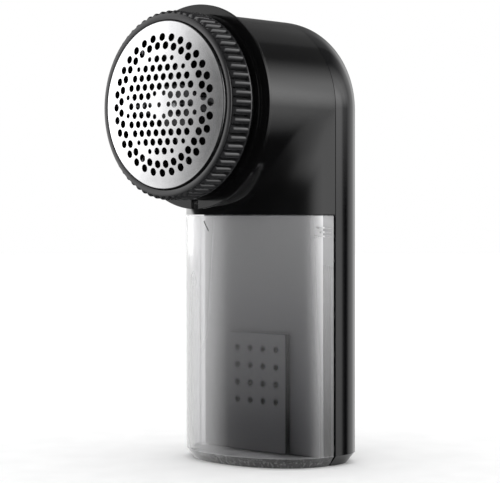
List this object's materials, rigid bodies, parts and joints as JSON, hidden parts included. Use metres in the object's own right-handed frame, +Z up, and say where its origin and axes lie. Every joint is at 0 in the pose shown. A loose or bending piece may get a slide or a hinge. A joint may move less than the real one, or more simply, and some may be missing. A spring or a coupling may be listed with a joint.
{
  "type": "fabric shaver",
  "caption": "Hand-held rechargeable lint shaver: perforated round foil over spinning blades, ribbed twist ring, arched black handle and clear lint container.",
  "frame": {"origin": "middle of the footprint, on the surface the shaver stands on", "axes": "+Z up along the handle, -Y the way the cutting head faces, +X to the right of a viewer behind the handle"},
  "size_m": [0.0656, 0.074, 0.1493],
  "materials": {
    "gloss_black": "polished black injection-moulded ABS",
    "satin_black": "polished dark charcoal ABS",
    "ring_black": "fine satin black ABS",
    "smoked_clear": "smoke-tinted clear polycarbonate",
    "foil_steel": "brushed stainless sheet",
    "blade_steel": "ground stainless strip",
    "plated_steel": "nickel-plated steel",
    "inner_plastic": "moulded black ABS",
    "handle_grey": "polished dark grey ABS",
    "white_plastic": "moulded nylon",
    "brass": "sintered or stamped brass",
    "copper": "enamelled copper and bars",
    "ferrite": "pressed ferrite",
    "cell_wrap": "shrunk blue sleeve",
    "board_green": "solder-masked fibreglass",
    "lens_clear": "clear acrylic light guide",
    "red_insulation": "PVC sleeve",
    "black_insulation": "PVC sleeve"
  },
  "bodies": {
    "handle": {"front_housing": "gloss_black", "rear_cover": "satin_black", "head_flange": "gloss_black", "lint_chute": "inner_plastic", "motor_can": "plated_steel", "motor_bush": "brass", "motor_magnet_right": "ferrite", "motor_magnet_left": "ferrite", "motor_end_cap": "white_plastic", "motor_terminal_left": "brass", "motor_terminal_right": "brass", "motor_screw_left": "plated_steel", "motor_screw_right": "plated_steel", "chassis": "handle_grey", "vent_panel": "handle_grey", "battery_cell": "cell_wrap", "battery_tab_minus": "plated_steel", "battery_tab_plus": "plated_steel", "circuit_board": "board_green", "switch_body": "plated_steel", "indicator_led": "white_plastic", "indicator_lens": "lens_clear", "charging_board": "board_green", "charging_socket": "plated_steel", "cover_screw_1": "plated_steel", "cover_screw_2": "plated_steel", "cover_screw_3": "plated_steel", "cover_screw_4": "plated_steel", "motor_wire_left": "black_insulation", "motor_wire_right": "red_insulation", "battery_wire_plus": "red_insulation", "charging_wire": "black_insulation"},
    "rotor": {"motor_shaft": "plated_steel", "motor_armature": "copper", "motor_commutator": "copper", "lint_fan": "inner_plastic", "cutter_spring": "plated_steel"},
    "cutter": {"cutter_blades": "blade_steel", "cutter_hub": "inner_plastic"},
    "foil_cap": {"foil": "foil_steel"},
    "twist_ring": {"foil_ring": "ring_black"},
    "container": {"lint_container": "smoked_clear"},
    "slider": {"power_slider": "ring_black"}
  },
  "joints": [
    {"name": "motor_spin", "type": "hinge", "parent": "handle", "child": "rotor", "pos_m": [0, 0, 0.1165], "axis": [0, 1, 0], "continuous": true},
    {"name": "cutter_press", "type": "slide", "parent": "rotor", "child": "cutter", "axis": [0, 1, 0], "range_m": [0, 0.001], "stiffness_N_per_m": 400, "springref_m": -0.002, "deforming": ["cutter_spring"]},
    {"name": "foil_pull", "type": "slide", "parent": "handle", "child": "foil_cap", "axis": [0, -1, 0], "range_m": [0, 0.03]},
    {"name": "ring_twist", "type": "hinge", "parent": "foil_cap", "child": "twist_ring", "pos_m": [0, -0.03, 0.1165], "axis": [0, -1, 0], "range_deg": [0, 30]},
    {"name": "container_pull", "type": "slide", "parent": "handle", "child": "container", "axis": [0, -1, 0], "range_m": [0, 0.045]},
    {"name": "power_slide", "type": "slide", "parent": "handle", "child": "slider", "axis": [0, 0, 1], "range_m": [0, 0.004]}
  ]
}
